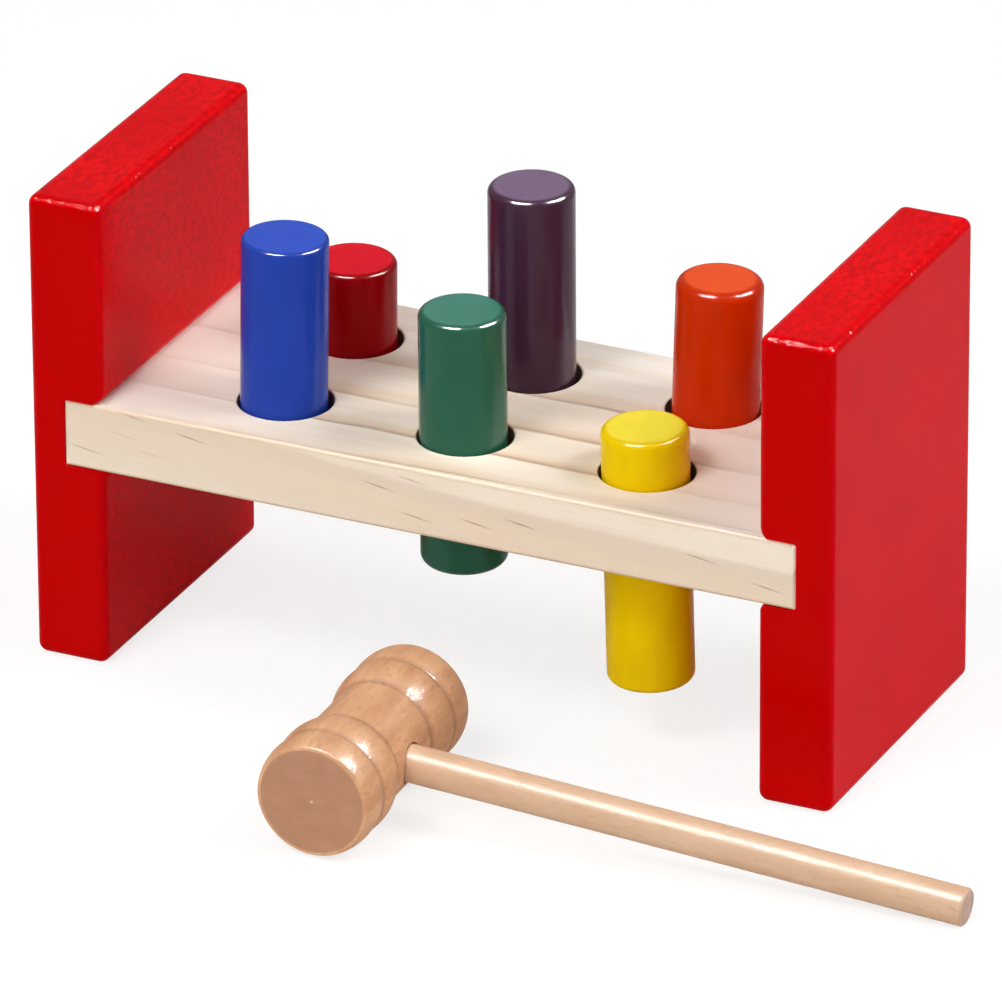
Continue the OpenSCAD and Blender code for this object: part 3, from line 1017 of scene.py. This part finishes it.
def handle_profile():
    """Profile from the glued end to the free one, with a wandering radius between the chamfers."""
    radius = HANDLE_DIAMETER / 2
    steps = int(HANDLE_LENGTH / HANDLE_STEP)
    start = handle_start
    end = handle_start + HANDLE_LENGTH
    points = [(radius - HANDLE_CHAMFER - HANDLE_INSET, start), (radius - HANDLE_CHAMFER, start)]
    for i in range(steps + 1):
        along = start + HANDLE_CHAMFER + (HANDLE_LENGTH - 2 * HANDLE_CHAMFER) * i / steps
        drift = noise.noise(Vector((along / HANDLE_WANDER_LENGTH, *NOISE_LINE)))
        points.append((radius + HANDLE_WANDER * (drift - 0.5), along))
    return points + [(radius - HANDLE_CHAMFER, end), (radius - HANDLE_CHAMFER - HANDLE_INSET, end)]


mallet_handle = skin_rows("mallet_handle_turned", turned_rows(handle_profile(), handle_lathe), HANDLE_BEECH)
finish_ends(mallet_handle, DOWEL_END_BEECH)
stand_for(mallet_handle, "mallet_handle", "mallet")
print("handle rows:", len(handle_profile()))

# %% [markdown]
# ## Floor and light
# The picture is a plain studio shot on white. The floor is pale and catches the soft shadows.
# Soft boxes hang above, in front and to the right, and give the light. A small highlight needs
# a small, bright source, so two narrow glint lamps show only in glossy paint: they make the two
# dashes on each peg. The rest is an even white room. The background's white comes from what
# the camera sees of the floor and the room, and not from more light. A mirror image gets only
# a share of that white, or every glossy side would look chalky.


# %% Floor
MIRROR_SHARE = 0.12


def white_to_the_eye(tree):
    """1 for rays from the camera, less for a mirror image, and 0 for rays that light things."""
    path = add(tree, "ShaderNodeLightPath").outputs
    mirrored = reckon(tree, "MULTIPLY", path["Is Glossy Ray"], MIRROR_SHARE)
    seen = reckon(tree, "MAXIMUM", path["Is Camera Ray"], mirrored)
    return reckon(tree, "MAXIMUM", seen, path["Is Transmission Ray"])


FLOOR_RADIUS = 6.0
FLOOR_SIDES = 96
FLOOR_CLOUD_SIZE = 60 * MM
FLOOR_GLOW = 0.76
FLOOR_GREY = paint(149, 149, 149)


def studio_floor():
    """A wide disc. To the eye it is grey with a glow on top, so that a shadow stays soft and pale."""
    material, tree, shader = new_finish("studio_floor")
    grain = speckle(tree, surface_place(tree), FLOOR_CLOUD_SIZE, 2.0)
    eye = white_to_the_eye(tree)
    bounce = blend_colours(tree, grain, paint(224, 224, 224), paint(228, 228, 228))
    tree.links.new(blend_colours(tree, eye, bounce, FLOOR_GREY), shader.inputs["Base Color"])
    shader.inputs["Roughness"].default_value = 0.9
    shader.inputs["Specular IOR Level"].default_value = 0.0
    shader.inputs["Emission Color"].default_value = (1, 1, 1, 1)
    tree.links.new(reckon(tree, "MULTIPLY", eye, FLOOR_GLOW), shader.inputs["Emission Strength"])
    shape = bmesh.new()
    bmesh.ops.create_circle(shape, cap_ends=True, radius=FLOOR_RADIUS, segments=FLOOR_SIDES)
    mesh = bpy.data.meshes.new("studio_floor")
    shape.to_mesh(mesh)
    shape.free()
    floor = bpy.data.objects.new("studio_floor", mesh)
    bpy.context.scene.collection.objects.link(floor)
    mesh.materials.append(material)
    floor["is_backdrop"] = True
    return floor


floor = studio_floor()
print(floor.name, "has a radius of", FLOOR_RADIUS, "m")

# %% Room and soft boxes
ROOM_LIGHT = 0.36


def white_room():
    """An even white room, white to the eye and dimmer as a light."""
    world = bpy.data.worlds.new("white_room")
    world.use_nodes = True
    bpy.context.scene.world = world
    tree = world.node_tree
    background = tree.nodes["Background"]
    background.inputs["Color"].default_value = (1, 1, 1, 1)
    strength = between(tree, white_to_the_eye(tree), ROOM_LIGHT, 1.0)
    tree.links.new(strength, background.inputs["Strength"])


def soft_box(name, start, end, distance, width, brightness, glint=False):
    """A flat strip lamp that runs from one direction to another, seen from the bench.
    brightness is how white its own surface is. A glint lamp shows only in glossy paint,
    and the others only give their light."""
    first = Vector(start).normalized() * distance
    last = Vector(end).normalized() * distance
    lamp = bpy.data.lights.new(name, "AREA")
    lamp.shape = "RECTANGLE"
    lamp.size = (last - first).length
    lamp.size_y = width
    lamp.energy = brightness * math.pi * lamp.size * lamp.size_y
    box = bpy.data.objects.new(name, lamp)
    bpy.context.scene.collection.objects.link(box)
    along = (last - first).normalized()
    away = (first + last).normalized()
    aim = Matrix((along, away.cross(along), away)).transposed().to_4x4()
    box.matrix_world = Matrix.Translation((first + last) / 2) @ aim
    box.visible_diffuse = not glint
    box.visible_glossy = glint
    print(name, "gives", round(lamp.energy, 1), "watts")


white_room()
KEY_LEFT = (-0.40, -0.50, 0.77)
KEY_RIGHT = (-0.02, -0.56, 0.83)
SIDE_NEAR = (0.56, 0.02, 0.83)
SIDE_FAR = (0.70, 0.30, 0.65)
FILL_LEFT = (-0.40, -0.80, 0.50)
FILL_RIGHT = (0.30, -0.85, 0.50)
FRONT_GLINT_LEFT = (-0.386, -0.361, 0.849)
FRONT_GLINT_RIGHT = (0.075, -0.367, 0.927)
SIDE_GLINT_NEAR = (0.527, 0.043, 0.849)
SIDE_GLINT_FAR = (0.581, 0.543, 0.606)
BOX_DISTANCE = 1.5
FILL_DISTANCE = 2.2
BOX_WIDTH = 0.30
FILL_WIDTH = 1.2
FRONT_GLINT_WIDTH = 0.50
SIDE_GLINT_WIDTH = 0.45
KEY_BRIGHTNESS = 13.0
SIDE_BRIGHTNESS = 15.2
FILL_BRIGHTNESS = 1.7
GLINT = 220.0
soft_box("key_box", KEY_LEFT, KEY_RIGHT, BOX_DISTANCE, BOX_WIDTH, KEY_BRIGHTNESS)
soft_box("side_box", SIDE_NEAR, SIDE_FAR, BOX_DISTANCE, BOX_WIDTH, SIDE_BRIGHTNESS)
soft_box("fill_box", FILL_LEFT, FILL_RIGHT, FILL_DISTANCE, FILL_WIDTH, FILL_BRIGHTNESS)
soft_box("front_glint", FRONT_GLINT_LEFT, FRONT_GLINT_RIGHT, BOX_DISTANCE, FRONT_GLINT_WIDTH, GLINT, True)
soft_box("side_glint", SIDE_GLINT_NEAR, SIDE_GLINT_FAR, BOX_DISTANCE, SIDE_GLINT_WIDTH, GLINT, True)

# %% [markdown]
# ## Finish
# The dressed toy is measured against the engineering model. The new pieces may not be
# larger than the engineering model.

# %% Measure and finish
seen_low, seen_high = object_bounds()
growth = [round((s - c) / MM, 2) for s, c in zip(seen_high - seen_low, cad_high - cad_low)]
print("the dressed toy is larger by, in mm:", growth)
